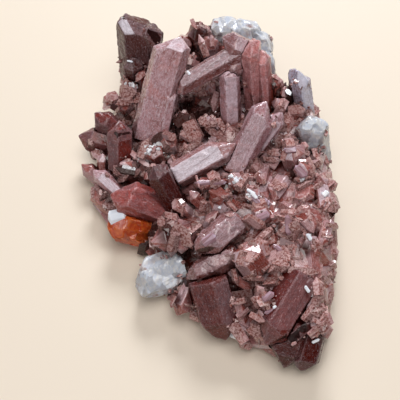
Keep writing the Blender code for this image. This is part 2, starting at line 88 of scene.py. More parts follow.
# Meshes
WELD = 0.002 * MM
FLAT_ANGLE = math.radians(0.8)
EDGE_ANGLE = math.radians(22)
CRYSTAL_STEP = 0.62 * MM       # longest mesh edge on a crystal
ROCK_STEP = 1.03 * MM          # longest mesh edge on the rock
EDGE_REACH = 0.4 * MM          # how far the worn look spreads from an edge
HOLLOW_REACH = 13 * MM         # how far away a wall still shades a hollow
PLATE_SIZE = (9.0, 2.6, 2.6)   # a growth plate on a crystal's face, along it and across it, in millimetres

# Faces that shine more or less than their neighbours, by a pixel on them: 0 is dull, 1 is a bright lavender sheen
# painted into the colour as a reflection
FACE_PAINTED_SHEENS = [
    ((127, 24), 0.85), ((116, 38), 0.4), ((151, 40), 0.1), ((138, 45), 0.05), ((150, 85), 0.5), ((178, 40), 0.55),
    ((136, 95), 0.45), ((176, 68), 0.0), ((200, 73), 0.35), ((238, 41), 0.4), ((229, 95), 0.5), ((250, 75), 0.15),
    ((264, 85), 0.1), ((262, 125), 0.45), ((246, 140), 0.3), ((273, 128), 0.5), ((300, 78), 1.0), ((303, 100), 0.65),
    ((198, 156), 1.0), ((224, 146), 0.1), ((106, 180), 0.9), ((164, 203), 0.4), ((135, 203), 0.1), ((160, 185), 0.0),
    ((155, 170), 0.08), ((208, 243), 0.8), ((225, 232), 0.25), ((215, 265), 0.2), ((180, 296), 0.45), ((181, 308), 0.0),
    ((229, 315), 0.12), ((208, 315), 0.05), ((275, 318), 0.0), ((290, 330), 0.1), ((280, 352), 0.0), ((303, 358), 0.0),
    ((117, 223), 1.0), ((112, 225), 1.0), ((290, 149), 0.8), ((300, 171), 0.6), ((264, 201), 0.6), ((262, 217), 0.6), ((288, 224), 0.6), ((248, 252), 0.1)]


def facetted_copy(name):
    """A node's solid with its triangles joined into flat faces."""
    solid = bmesh.new()
    solid.from_mesh(frame["nodes"][name].data)
    bmesh.ops.remove_doubles(solid, verts=solid.verts[:], dist=WELD)
    bmesh.ops.dissolve_limit(solid, angle_limit=FLAT_ANGLE, verts=solid.verts[:], edges=solid.edges[:])
    return solid


def lay_grain(solid, chance):
    """Gives each flat face its own grain map: along its longest edge and across it, in millimetres."""
    grain = solid.loops.layers.uv.new("grain")
    for face in solid.faces:
        longest = max(face.edges, key=lambda e: e.calc_length())
        along = (longest.verts[1].co - longest.verts[0].co).normalized()
        across = face.normal.cross(along)
        shift = Vector((chance.uniform(0, 100), chance.uniform(0, 100)))
        for loop in face.loops:
            place = loop.vert.co
            loop[grain].uv = Vector((place.dot(across), place.dot(along))) / MM + shift


def tone_faces(solid, name, chance):
    """Gives each flat face a tone of its own, and its painted sheen, a painted reflection, where one is named for it.
    """
    tone = solid.faces.layers.float.new("tone")
    sheen = solid.faces.layers.float.new("sheen")
    for face in solid.faces:
        face[tone] = chance.random()
        # a little painted sheen at random, more of it on the rock's faces
        face[sheen] = (0.6 if name == "matrix" else 0.15) * chance.random() ** 2
    faces = BVHTree.FromBMesh(solid)
    solid.faces.ensure_lookup_table()
    for pixel, value in FACE_PAINTED_SHEENS:
        eye, ray = sight_line(*pixel)
        hit = faces.ray_cast(eye, ray)
        first = EVERYTHING.ray_cast(eye, ray)
        if hit[0] and hit[3] < first[3] + 0.05 * MM:
            solid.faces[hit[2]][sheen] = value


def sight_line(px, py):
    """Where the eye is, and the direction in which it looks through a pixel."""
    eye = SIGHT_CENTRE + TOWARDS_EYE * SIGHT_DISTANCE
    across, up = (px - PICTURE_MIDDLE) * PIXEL, (PICTURE_MIDDLE - py) * PIXEL
    ray = Vector((across, 0.0, 0.0)) + SIGHT_UP * up - TOWARDS_EYE * SIGHT_DISTANCE
    return eye, ray.normalized()


def sharp_edges(solid):
    """Edges that stand out between two faces."""
    return [e for e in solid.edges if len(e.link_faces) == 2 and e.calc_face_angle_signed(0.0) > EDGE_ANGLE]


def points_on(edges, step):
    """Points along edges, about a step apart."""
    found = []
    for edge in edges:
        a, b = edge.verts[0].co, edge.verts[1].co
        count = max(1, round((b - a).length / step))
        found += [a.lerp(b, (i + 0.5) / count) for i in range(count)]
    return found


def refine(solid, longest):
    """Splits the mesh into triangles with no edge over the given length."""
    bmesh.ops.triangulate(solid, faces=solid.faces[:])
    for _ in range(8):
        split = [e for e in solid.edges if e.calc_length() > longest]
        if not split:
            break
        bmesh.ops.subdivide_edges(solid, edges=split, cuts=1)
        many_sided = [f for f in solid.faces if len(f.verts) > 3]
        bmesh.ops.triangulate(solid, faces=many_sided, quad_method="SHORT_EDGE")


def as_mesh(name, solid):
    mesh = bpy.data.meshes.new(name)
    solid.to_mesh(mesh)
    solid.free()
    return mesh


def coordinates(mesh):
    flat = np.zeros(len(mesh.vertices) * 3, np.float32)
    mesh.vertices.foreach_get("co", flat)
    return flat.reshape(-1, 3).astype(float)


def vertex_normals(mesh):
    flat = np.zeros(len(mesh.vertices) * 3, np.float32)
    mesh.vertex_normals.foreach_get("vector", flat)
    return flat.reshape(-1, 3).astype(float)


def place_vertices(mesh, points):
    """Moves the vertices, none of them out of the solids' own box."""
    kept = np.clip(points, np.array(CAD_LOW), np.array(CAD_HIGH))
    mesh.vertices.foreach_set("co", kept.astype(np.float32).ravel())
    mesh.update()


def store(mesh, name, values):
    """A value for each vertex, which the materials read by its name."""
    made = mesh.attributes.new(name, "FLOAT", "POINT")
    made.data.foreach_set("value", np.asarray(values, np.float32))


def all_round(count):
    """Directions spread evenly over a sphere."""
    turn = math.pi * (3 - math.sqrt(5))
    spread = []
    for i in range(count):
        z = 1 - (2 * i + 1) / count
        r = math.sqrt(1 - z * z)
        spread.append(Vector((r * math.cos(turn * i), r * math.sin(turn * i), z)))
    return spread


def solids_tree(names):
    """A tree of the triangles of several nodes, for rays and distances."""
    points, faces = [], []
    for name in names:
        mesh = frame["nodes"][name].data
        mesh.calc_loop_triangles()
        base = len(points)
        points += [v.co.copy() for v in mesh.vertices]
        faces += [[base + i for i in t.vertices] for t in mesh.loop_triangles]
    return BVHTree.FromPolygons(points, faces)


CRYSTALS = sorted(set(frame["nodes"]) - {"matrix"})
EVERYTHING = solids_tree(frame["nodes"])
CRYSTAL_TREE = solids_tree(CRYSTALS)
ROCK_TREE = solids_tree(["matrix"])
DIRECTIONS = all_round(20)


def hollowness(points, normals):
    """The share of the view outwards from each point that the specimen itself blocks, which the materials paint as
    shade.
    """
    shares = []
    for point, normal in zip(points, normals):
        here, out = Vector(point), Vector(normal)
        start = here + out * 0.5 * MM
        seen = [d for d in DIRECTIONS if d.dot(out) > 0.2]
        blocked = sum(1 for d in seen if EVERYTHING.ray_cast(start, d, HOLLOW_REACH)[0])
        shares.append(blocked / max(1, len(seen)))
    return np.array(shares)


def edge_wear(points, samples):
    """One on an edge, falling to nothing away from it."""
    tree = KDTree(len(samples))
    for i, sample in enumerate(samples):
        tree.insert(sample, i)
    tree.balance()
    away = np.array([tree.find(Vector(p))[2] for p in points])
    return np.exp(-(away / EDGE_REACH) ** 2)


def noise_at(points, size, seed, octaves=2):
    """Smooth noise between about -1 and 1, with features of the given size."""
    shift = Vector((seed * 13.7, seed * 7.3, seed * 3.1))
    return np.array([noise.fractal(Vector(p) / size + shift, 0.7, 2.1, octaves) for p in points])


def facets_at(points, size, seed):
    """Heights, in about -1 to 1, of a surface of small flat facets that each tilt their own way."""
    shift = Vector((seed * 5.3, seed * 2.9, seed * 8.1))
    heights = []
    for point in points:
        place = Vector(point) / size + shift
        distances, centres = noise.voronoi(place)
        tilt = noise.cell_vector(centres[0] * 7.7)
        tilt = Vector((tilt.x - 0.5, tilt.y - 0.5, tilt.z - 0.5))
        heights.append((place - centres[0]).dot(tilt) * 1.6 + (tilt.x + tilt.y) * 0.4)
    return np.clip(np.array(heights), -1, 1)


def bent(mesh, points, normals):
    """How each vertex stands out from its neighbours: above nothing on a ridge, below in a crease."""
    ends = np.zeros(len(mesh.edges) * 2, np.int32)
    mesh.edges.foreach_get("vertices", ends)
    a, b = ends.reshape(-1, 2).T
    step = points[b] - points[a]
    step /= np.maximum(np.linalg.norm(step, axis=1), 1e-9)[:, None]
    total = np.bincount(a, -(step * normals[a]).sum(1), len(points))
    total += np.bincount(b, (step * normals[b]).sum(1), len(points))
    return total / np.maximum(np.bincount(a, minlength=len(points)) + np.bincount(b, minlength=len(points)), 1)


def flattened(points, normals, size, seed, firmness, warp=0.35):
    """The points drawn towards flat breaks, each about the given size across, that follow the surface."""
    shift = Vector((seed * 3.7, seed * 9.1, seed * 1.9))
    patches = {}
    for index, point in enumerate(points):
        place = Vector(point) / size + shift
        place += noise.noise_vector(place * 1.7) * warp
        centre = noise.voronoi(place)[1][0]
        patches.setdefault(tuple(round(c, 3) for c in centre), []).append(index)
    moved = points.copy()
    for members in patches.values():
        normal = normals[members].mean(0)
        evenness = np.linalg.norm(normal)
        if evenness < 0.3:
            continue
        normal /= evenness
        away = (points[members] - points[members].mean(0)) @ normal
        moved[members] -= np.outer(away, normal) * firmness * min(1.0, evenness * evenness * 1.3)
    return moved


def plates_at(points, seed):
    """Heights of a surface of flat plates that lie side by side along the crystal's length."""
    middle = points - points.mean(0)
    axes = np.linalg.svd(middle, full_matrices=False)[2]
    plates = (middle @ axes.T) / (np.array(PLATE_SIZE) * MM)
    return facets_at(plates, 1.0, seed)


def cut_facets(solid, count, depth, chance):
    """Breaks flat facets off the places that stand out furthest, each up to the given depth."""
    for _ in range(count):
        out = Vector((chance.gauss(0, 1), chance.gauss(0, 1), chance.gauss(0.6, 0.8))).normalized()
        reach = max(v.co.dot(out) for v in solid.verts)
        bmesh.ops.bisect_plane(solid, geom=solid.verts[:] + solid.edges[:] + solid.faces[:], dist=WELD,
                               plane_co=out * (reach - chance.uniform(0.3, 1.0) * depth), plane_no=out,
                               clear_outer=True)
        bmesh.ops.holes_fill(solid, edges=[e for e in solid.edges if e.is_boundary], sides=0)
    bmesh.ops.remove_doubles(solid, verts=solid.verts[:], dist=0.12 * MM)
    bmesh.ops.dissolve_limit(solid, angle_limit=math.radians(3), verts=solid.verts[:], edges=solid.edges[:])
    bmesh.ops.recalc_face_normals(solid, faces=solid.faces[:])


def bevelled(solid, width):
    """The solid with its sharp edges bevelled, or as it was where a bevel would leave the box."""
    plain = solid.copy()
    bmesh.ops.bevel(solid, geom=sharp_edges(solid), offset=width, offset_type="OFFSET", segments=1,
                    profile=0.5, affect="EDGES", clamp_overlap=True)
    low, high = ([f(v.co[k] for v in plain.verts) for k in range(3)] for f in (min, max))
    stray = any(not low[k] - width < v.co[k] < high[k] + width for v in solid.verts for k in range(3))
    if stray:
        print("no bevel", len(plain.verts))
    kept, other = (plain, solid) if stray else (solid, plain)
    other.free()
    return kept


def crystal_piece(name, seed, swell=0.1 * MM, wave=0.10 * MM, chips=0.22 * MM, bevel=0.2 * MM, broken=0.0,
                  cuts=(0, 0.0), plates=0.24 * MM):
    """The visible form of a crystal or group: its faces a little uneven, its edges worn and chipped."""
    chance = random.Random(name)
    solid = facetted_copy(name)
    cut_facets(solid, *cuts, chance)
    samples = points_on(sharp_edges(solid), 0.3 * MM)
    lay_grain(solid, chance)
    tone_faces(solid, name, chance)
    solid = bevelled(solid, bevel)
    refine(solid, CRYSTAL_STEP)
    print(name, len(solid.verts), len(solid.faces), sum(1 for e in solid.edges if e.is_boundary))
    mesh = as_mesh(name + "_look", solid)
    points, normals = coordinates(mesh), vertex_normals(mesh)
    worn = edge_wear(points, samples)
    hollow = hollowness(points, normals)
    chip = np.clip(noise_at(points, 1.3 * MM, seed) - 0.12, 0, 1) * worn
    uneven = noise_at(points, 3.5 * MM, seed + 1) * 0.7 + noise_at(points, 1.1 * MM, seed + 2) * 0.3
    offset = swell + uneven * wave - chip * chips * 2.5 + plates_at(points, seed + 9) * plates
    if broken:
        offset += facets_at(points, 4.5 * MM, seed) * broken
    moved = points + normals * offset[:, None]
    if broken:
        moved = flattened(moved, normals, 3.4 * MM, seed, 0.8, 0.2)
    place_vertices(mesh, moved)
    ridges = bent(mesh, coordinates(mesh), vertex_normals(mesh))
    store(mesh, "worn", np.clip(worn * 0.6 + ridges * 3, 0, 1))
    store(mesh, "creased", np.clip(-ridges * 2, 0, 1) * 0.5)
    # painted shade in the hollows
    store(mesh, "hollow", hollow)
    store(mesh, "foot", foot_of(points))
    return finished_piece(name + "_look", mesh, name)


def foot_of(points):
    """One where a crystal stands in the rock, falling to nothing away from it."""
    away = np.array([ROCK_TREE.find_nearest(Vector(p))[3] for p in points])
    return np.exp(-(away / (2.2 * MM)) ** 2)


def foot_mesh():
    """The crystals' solids as one plain surface, which says where small crystals have grown onto them."""
    solid = bmesh.new()
    for name in CRYSTALS:
        part = facetted_copy(name)
        refine(part, 1.6 * MM)
        mesh = as_mesh(name + "_foot", part)
        solid.from_mesh(mesh)
        bpy.data.meshes.remove(mesh)
    mesh = as_mesh("feet", solid)
    points, normals = coordinates(mesh), vertex_normals(mesh)
    patches = np.clip(noise_at(points, 5 * MM, 61) * 1.4 + 0.15, 0, 1)
    strays = np.clip(noise_at(points, 7 * MM, 62) * 1.6 - 0.75, 0, 0.3)
    store(mesh, "growth", foot_of(points) * patches * 1.6 + strays)
    # painted shade in the hollows and painted shadows at the named spots
    store(mesh, "hollow", np.maximum(hollowness(points, normals), nearness(points, PAINTED_SHADOW_SPOTS) * 0.85))
    return mesh


def finished_piece(label, mesh, node):
    """An object for the mesh that rides with the specimen, in place of a node if one is named."""
    mesh.shade_smooth()
    mesh.set_sharp_from_angle(angle=math.radians(28))
    piece = bpy.data.objects.new(label, mesh)
    bpy.context.scene.collection.objects.link(piece)
    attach(piece, "root")
    if node:
        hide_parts(node)
    return piece


def rock_mesh():
    """The rock and its small crystals, split finely, roughened, with its hollows marked for painted shade and its edges
    marked.
    """
    solid = facetted_copy("matrix")
    edges = sharp_edges(solid)
    samples = points_on(edges, 0.4 * MM)
    lay_grain(solid, random.Random("matrix"))
    tone_faces(solid, "matrix", random.Random("faces"))
    refine(solid, ROCK_STEP)
    mesh = as_mesh("matrix_look", solid)
    points, normals = coordinates(mesh), vertex_normals(mesh)
    worn = edge_wear(points, samples)
    hollow = hollowness(points, normals)
    lifted = np.clip(points[:, 2] / (2 * MM), 0, 1)
    rough = noise_at(points, 8 * MM, 20) * 0.2 + facets_at(points, 5.0 * MM, 31) * 0.12
    rough += noise_at(points, 1.2 * MM, 22, 3) * 0.02
    moved = points + normals * (rough * lifted * MM)[:, None]
    moved[:, 2] = np.where(points[:, 2] < 0.05 * MM, points[:, 2], moved[:, 2])
    place_vertices(mesh, moved)
    points, normals = coordinates(mesh), vertex_normals(mesh)
    ridges = bent(mesh, points, normals)
    store(mesh, "worn", np.clip(worn * 0.3 + ridges * 1.5, 0, 1))
    store(mesh, "creased", np.clip(-ridges * 3, 0, 1))
    # painted shade in the hollows and painted shadows at the named spots
    store(mesh, "hollow", np.maximum(hollow, nearness(points, PAINTED_SHADOW_SPOTS) * 0.85))
    crystal_distance = np.array([CRYSTAL_TREE.find_nearest(Vector(p))[3] for p in points]) / MM
    upward = np.clip(normals[:, 2] + 0.35, 0, 1)
    patches = np.clip(0.6 + noise_at(points, 9 * MM, 24), 0.15, 1)
    growth = upward * patches + np.exp(-((crystal_distance - 1.2) / 0.7) ** 2) * 0.4
    growth[crystal_distance < 0.55] = 0
    growth[points[:, 2] < 1.5 * MM] = 0
    store(mesh, "growth", growth)
    # where the near-white grains of the painted glints grow
    store(mesh, "bright", nearness(points, PAINTED_GLINT_SPOTS))
    return mesh


def seen_at(px, py):
    """The place on the specimen that is met through a pixel of the photograph's view."""
    return EVERYTHING.ray_cast(*sight_line(px, py))[0]


# Clusters of small colourless crystals coloured near white as painted glints, by their pixel in the photograph's view,
# with their reach in millimetres
PAINTED_GLINT_SPOTS = [
    ((147, 149), 4.6), ((120, 117), 1.8), ((127, 61), 2.2), ((132, 86), 2.0), ((189, 73), 1.5), ((200, 53), 1.8),
    ((238, 181), 2.6), ((251, 194), 2.2), ((304, 178), 1.6), ((315, 159), 1.4), ((325, 194), 1.5), ((225, 164), 1.1),
    ((310, 237), 1.8), ((306, 292), 2.4), ((315, 342), 2.0), ((274, 307), 1.2), ((262, 201), 1.4), ((288, 150), 1.6)]


# Painted shadows in the recesses of the crust, in the same way
PAINTED_SHADOW_SPOTS = [
    ((139, 53), 2.2), ((131, 76), 3.2), ((199, 36), 5.0), ((195, 108), 9.0), ((188, 124), 5.0), ((214, 166), 4.2), ((172, 236), 6.0),
    ((190, 257), 3.6), ((239, 298), 3.8), ((305, 250), 3.4), ((128, 172), 3.0), ((176, 300), 3.0), ((300, 352), 4.0)]


def nearness(points, spots):
    """One at the places met through the pixels, falling to nothing at their reach."""
    found = np.zeros(len(points))
    for (px, py), reach in spots:
        centre = seen_at(px, py)
        if centre:
            away = np.linalg.norm(points - np.array(centre), axis=1)
            found = np.maximum(found, np.clip(1.4 - away / (reach * MM), 0, 1))
    return found


# Single small crystals that stand out in the photograph, their white and lavender painted as glints, highlights and
# sheen: the pixels of both ends and the width in millimetres
PAINTED_GLINT_SHARDS = [
    ((231, 175), (241, 183), 1.5), ((239, 181), (247, 188), 1.3), ((247, 189), (256, 198), 1.9),
    ((302, 180), (307, 175), 1.4), ((313, 160), (316, 158), 1.2), ((323, 196), (327, 191), 1.9),
    ((307, 234), (311, 240), 1.9), ((305, 286), (309, 292), 1.4), ((312, 342), (319, 339), 1.5), ((273, 308), (276, 306), 1.0),
    ((137, 146), (146, 144), 1.1), ((147, 152), (157, 145), 1.3), ((140, 152), (146, 150), 1.0),
    ((223, 164), (227, 164), 1.1), ((218, 207), (221, 208), 1.0), 
    ((196, 52), (203, 52), 1.5), ((187, 71), (190, 75), 1.2), ((127, 61), (133, 62), 0.9)]
WHITE_GLINTS = [((109, 219), (126, 215), 5.0), ((228, 332), (240, 337), 2.8)]
PAINTED_SHEEN_SHARDS = [
    ((284, 150), (296, 149), 3.2), ((296, 166), (305, 177), 3.0), ((288, 216), (288, 234), 2.9),
    ((256, 219), (269, 214), 2.7), ((259, 198), (270, 204), 2.0), ((248, 192), (262, 206), 2.2),
    ((202, 243), (215, 236), 3.0), ((263, 300), (273, 293), 2.4), ((265, 313), (275, 309), 2.2),
    ((196, 183), (225, 182), 3.0), ((233, 190), (238, 203), 2.0), ((274, 245), (286, 255), 2.2)]
def lying_crystal(solid, start, end, width, lift, chance):
    """One angular crystal that lies on the specimen between two pixels of the photograph's view."""
    middle = seen_at((start[0] + end[0]) / 2, (start[1] + end[1]) / 2)
    if middle is None:
        return
    middle += TOWARDS_EYE * lift
    across, up = (end[0] - start[0]) * PIXEL / 2, (start[1] - end[1]) * PIXEL / 2
    half = Vector((across, 0.0, 0.0)) + SIGHT_UP * up
    side = half.cross(TOWARDS_EYE).normalized() * width / 2
    tilt = side * chance.uniform(-0.35, 0.35)
    corners = [middle + half * 1.1, middle - half * 1.1]
    for place in (-0.8, 0.8):
        for sideways, outwards in ((1, 0.1), (-1, 0.1), (0.45, 0.5), (-0.45, 0.5), (0.5, -1), (-0.5, -1)):
            corners.append(middle + half * (place + chance.uniform(-0.12, 0.12)) + tilt * outwards
                           + side * sideways * chance.uniform(0.8, 1.1) + TOWARDS_EYE * outwards * width / 2)
    made = [solid.verts.new(corner) for corner in corners]
    hull = bmesh.ops.convex_hull(solid, input=made)
    bmesh.ops.delete(solid, geom=[v for v in hull["geom_interior"] if v.is_valid], context="VERTS")


def lying_crystals(label, lines, lift, longest, finish):
    """The named crystals of one kind as one piece, each broken into fragments up to the given length."""
    chance = random.Random(label)
    solid = bmesh.new()
    for start, end, width in lines:
        run = Vector((end[0] - start[0], end[1] - start[1]))
        count = max(1, round(run.length * PIXEL / (longest * MM)))
        for i in range(count):
            loose = Vector((chance.uniform(-1, 1), chance.uniform(-1, 1))) * (1.3 if count > 1 else 0)
            first, last = (Vector(start) + run * t / count + loose for t in (i, i + 1))
            turn = Vector((chance.uniform(-1, 1), chance.uniform(-1, 1))) * (1.0 if count > 1 else 0)
            lying_crystal(solid, first - turn, last + turn, width * MM * chance.uniform(0.5, 1.0),
                          lift * MM * chance.uniform(0.6, 1.0), chance)
    bmesh.ops.recalc_face_normals(solid, faces=solid.faces[:])
    tone = solid.faces.layers.float.new("tone")
    side = solid.faces.layers.float.new("side")
    for face in solid.faces:
        face[tone] = chance.uniform(0.3, 1.0)
        face[side] = chance.random()
    mesh = as_mesh(label, solid)
    place_vertices(mesh, coordinates(mesh))
    mesh.shade_flat()
    mesh.materials.append(finish)
    piece = bpy.data.objects.new(label, mesh)
    bpy.context.scene.collection.objects.link(piece)
    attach(piece, "root")


def small_crystal(name, sides, point, lean, flat=1.0, poked=True):
    """The pattern for one small crystal: a prism one wide and one high with its pyramid, about its middle.

    Its value "rim" is one along its edges and, on a poked face, nothing in the middle.
    """
    solid = bmesh.new()
    rim = solid.verts.layers.float.new("rim")
    side = solid.faces.layers.float.new("side")
    rings = []
    for z, reach in ((-0.5, 0.42), (0.5 - point, 0.5)):
        angles = [math.tau * (k + 0.2) / sides for k in range(sides)]
        rings.append([solid.verts.new((reach * math.cos(a), reach * flat * math.sin(a), z)) for a in angles])
    apex = solid.verts.new((lean, lean * flat / 2, 0.5))
    solid.faces.new(reversed(rings[0]))
    shown = []
    for k in range(sides):
        following = (k + 1) % sides
        shown.append(solid.faces.new((rings[0][k], rings[0][following], rings[1][following], rings[1][k])))
        shown.append(solid.faces.new((rings[1][k], rings[1][following], apex)))
    chance = random.Random(name)
    for face in shown:
        face[side] = chance.random()
    for vertex in solid.verts:
        vertex[rim] = 1.0
    if poked:
        bmesh.ops.poke(solid, faces=shown)
    return bpy.data.objects.new(name, as_mesh(name, solid))


class Tree:
    """A node tree with short calls for its sockets, nodes and links."""

    def __init__(self, name, kind):
        self.tree = bpy.data.node_groups.new(name, kind)
        self.inside = self.tree.nodes.new("NodeGroupInput")
        self.outside = self.tree.nodes.new("NodeGroupOutput")
        self.ids = {}

    def socket(self, name, kind, value=None, output=False):
        made = self.tree.interface.new_socket(name=name, in_out="OUTPUT" if output else "INPUT", socket_type=kind)
        if value is not None:
            made.default_value = value
        self.ids[name] = made.identifier

    def node(self, kind, settings=None, **inputs):
        made = self.tree.nodes.new(kind)
        for key, value in (settings or {}).items():
            setattr(made, key, value)
        for key, value in inputs.items():
            self.feed(made.inputs[key.replace("_", " ")], value)
        return made

    def feed(self, socket, value):
        if isinstance(value, bpy.types.NodeSocket):
            self.tree.links.new(value, socket)
        else:
            socket.default_value = value


def druse_tree():
    """Small crystals strewn over a surface, thickest where its growth is, each leaning its own way."""
    t = Tree("druse", "GeometryNodeTree")
    t.socket("Geometry", "NodeSocketGeometry", output=True)
    t.socket("Surface", "NodeSocketGeometry")
    for name, value in (("Density", 1e5), ("Smallest", 0.5 * MM), ("Largest", 2 * MM), ("Crowding", 2.5),
                        ("Upright", 0.0), ("Leaning", 1.0), ("Slimmest", 0.4), ("Tallest", 1.6)):
        t.socket(name, "NodeSocketFloat", value)
    t.socket("Seed", "NodeSocketInt", 0)
    t.socket("Pattern", "NodeSocketObject")
    t.socket("Finish", "NodeSocketMaterial")
    given = t.inside.outputs
    growth = t.node("GeometryNodeInputNamedAttribute", {"data_type": "FLOAT"}, Name="growth")
    thick = t.node("ShaderNodeMath", {"operation": "MULTIPLY"})
    t.feed(thick.inputs[0], given["Density"])
    t.feed(thick.inputs[1], growth.outputs["Attribute"])
    strewn = t.node("GeometryNodeDistributePointsOnFaces", {"distribute_method": "RANDOM"}, Mesh=given["Surface"],
                    Density=thick.outputs[0], Seed=given["Seed"])
    lean = t.node("FunctionNodeRandomValue", {"data_type": "FLOAT_VECTOR"})
    least = t.node("ShaderNodeCombineXYZ", X=given["Upright"], Z=-math.pi)
    most = t.node("ShaderNodeCombineXYZ", X=given["Leaning"], Z=math.pi)
    t.feed(lean.inputs[0], least.outputs[0])
    t.feed(lean.inputs[1], most.outputs[0])
    t.feed(lean.inputs["Seed"], 3)
    leaning = t.node("FunctionNodeEulerToRotation", Euler=lean.outputs[0])
    turned = t.node("FunctionNodeRotateRotation", {"rotation_space": "LOCAL"}, Rotation=strewn.outputs["Rotation"],
                    Rotate_By=leaning.outputs[0])
    spin = t.node("FunctionNodeRandomValue", {"data_type": "FLOAT_VECTOR"})
    t.feed(spin.inputs[0], (0.0, 0.0, 0.0))
    t.feed(spin.inputs[1], (0.0, 0.0, math.tau))
    t.feed(spin.inputs["Seed"], 13)
    spinning = t.node("FunctionNodeEulerToRotation", Euler=spin.outputs[0])
    turned = t.node("FunctionNodeRotateRotation", {"rotation_space": "LOCAL"}, Rotation=turned.outputs[0],
                    Rotate_By=spinning.outputs[0])
    luck = t.node("FunctionNodeRandomValue", {"data_type": "FLOAT"})
    t.feed(luck.inputs["Seed"], 5)
    crowded = t.node("ShaderNodeMath", {"operation": "POWER"})
    t.feed(crowded.inputs[0], luck.outputs[1])
    t.feed(crowded.inputs[1], given["Crowding"])
    size = t.node("ShaderNodeMapRange", Value=crowded.outputs[0], To_Min=given["Smallest"], To_Max=given["Largest"])
    shape = t.node("FunctionNodeRandomValue", {"data_type": "FLOAT_VECTOR"})
    low = t.node("ShaderNodeCombineXYZ", X=given["Slimmest"], Y=given["Slimmest"], Z=0.7)
    high = t.node("ShaderNodeCombineXYZ", X=1.0, Y=1.0, Z=given["Tallest"])
    t.feed(shape.inputs[0], low.outputs[0])
    t.feed(shape.inputs[1], high.outputs[0])
    t.feed(shape.inputs["Seed"], 7)
    scale = t.node("ShaderNodeVectorMath", {"operation": "SCALE"})
    t.feed(scale.inputs[0], shape.outputs[0])
    t.feed(scale.inputs["Scale"], size.outputs[0])
    pattern = t.node("GeometryNodeObjectInfo", Object=given["Pattern"], As_Instance=True)
    grown = t.node("GeometryNodeInstanceOnPoints", Points=strewn.outputs["Points"],
                   Instance=pattern.outputs["Geometry"], Rotation=turned.outputs[0], Scale=scale.outputs[0])
    tone = t.node("FunctionNodeRandomValue", {"data_type": "FLOAT"})
    t.feed(tone.inputs["Seed"], 11)
    toned = t.node("GeometryNodeStoreNamedAttribute", {"data_type": "FLOAT", "domain": "INSTANCE"},
                   Geometry=grown.outputs[0], Name="tone", Value=tone.outputs[1])
    real = t.node("GeometryNodeRealizeInstances", Geometry=toned.outputs[0])
    dressed = t.node("GeometryNodeSetMaterial", Geometry=real.outputs[0], Material=given["Finish"])
    t.feed(t.outside.inputs["Geometry"], dressed.outputs[0])
    return t


def druse(label, surface, tree, patterns, slot, **values):
    """One piece of small crystals grown over the surface mesh, with the tree's inputs set by name."""
    carrier = bpy.data.objects.new(label + "_carrier", surface)
    bpy.context.scene.collection.objects.link(carrier)
    meshes = []
    for index, pattern in enumerate(patterns):
        grower = carrier.modifiers.new("druse", "NODES")
        grower.node_group = tree.tree
        for key, value in values.items():
            grower[tree.ids[key]] = value
        grower[tree.ids["Pattern"]] = pattern
        grower[tree.ids["Seed"]] = values["Seed"] + index
        bpy.context.view_layer.update()
        deps = bpy.context.evaluated_depsgraph_get()
        meshes.append(bpy.data.meshes.new_from_object(carrier.evaluated_get(deps)))
        carrier.modifiers.clear()
    bpy.data.objects.remove(carrier)
    mesh = joined(label, meshes, values["Finish"])
    place_vertices(mesh, coordinates(mesh))
    mesh.shade_flat()
    piece = bpy.data.objects.new(label, mesh)
    bpy.context.scene.collection.objects.link(piece)
    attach(piece, "root")
    print(label, len(mesh.polygons), "faces")
    return piece


def joined(label, meshes, finish):
    """Several meshes as one, all in one finish."""
    solid = bmesh.new()
    for mesh in meshes:
        solid.from_mesh(mesh)
    for face in solid.faces:
        face.material_index = 0
    made = as_mesh(label, solid)
    made.materials.append(finish)
    return made


# Finishes

def new_material(name):
    material = bpy.data.materials.new(name)
    material.use_nodes = True
    material.node_tree.nodes.clear()
    return material


class Shader:
    """Short calls for the nodes of one material."""

    def __init__(self, name):
        self.material = new_material(name)
        self.tree = self.material.node_tree
        self.surface = self.node("ShaderNodeBsdfPrincipled")
        self.output = self.node("ShaderNodeOutputMaterial")
        self.tree.links.new(self.surface.outputs[0], self.output.inputs["Surface"])

    def node(self, kind, settings=None, **inputs):
        made = self.tree.nodes.new(kind)
        for key, value in (settings or {}).items():
            setattr(made, key, value)
        for key, value in inputs.items():
            self.feed(made.inputs[key.replace("_", " ")], value)
        return made

    def group(self, group, **inputs):
        made = self.tree.nodes.new("ShaderNodeGroup")
        made.node_tree = group
        for key, value in inputs.items():
            self.feed(made.inputs[key.replace("_", " ")], value)
        return made

    def feed(self, socket, value):
        if isinstance(value, bpy.types.NodeSocket):
            self.tree.links.new(value, socket)
        else:
            socket.default_value = value

    def set(self, **inputs):
        for key, value in inputs.items():
            self.feed(self.surface.inputs[key.replace("_", " ")], value)


def mixed(t, factor, a, b, blend="MIX"):
    """A colour between two."""
    node = t.node("ShaderNodeMix", {"data_type": "RGBA", "blend_type": blend})
    t.feed(node.inputs["Factor"], factor)
    t.feed(node.inputs[6], a)
    t.feed(node.inputs[7], b)
    return node.outputs[2]


def sums(t, operation, a, b=None):
    node = t.node("ShaderNodeMath", {"operation": operation, "use_clamp": False})
    t.feed(node.inputs[0], a)
    if b is not None:
        t.feed(node.inputs[1], b)
    return node.outputs[0]


def ranged(t, value, low, high, to_low=0.0, to_high=1.0):
    node = t.node("ShaderNodeMapRange", Value=value, From_Min=low, From_Max=high, To_Min=to_low, To_Max=to_high)
    return node.outputs[0]


def noise_value(t, place, scale, detail=2.0, roughness=0.5, distortion=0.0):
    node = t.node("ShaderNodeTexNoise", Vector=place, Scale=scale, Detail=detail, Roughness=roughness,
                  Distortion=distortion)
    return node.outputs["Fac"]


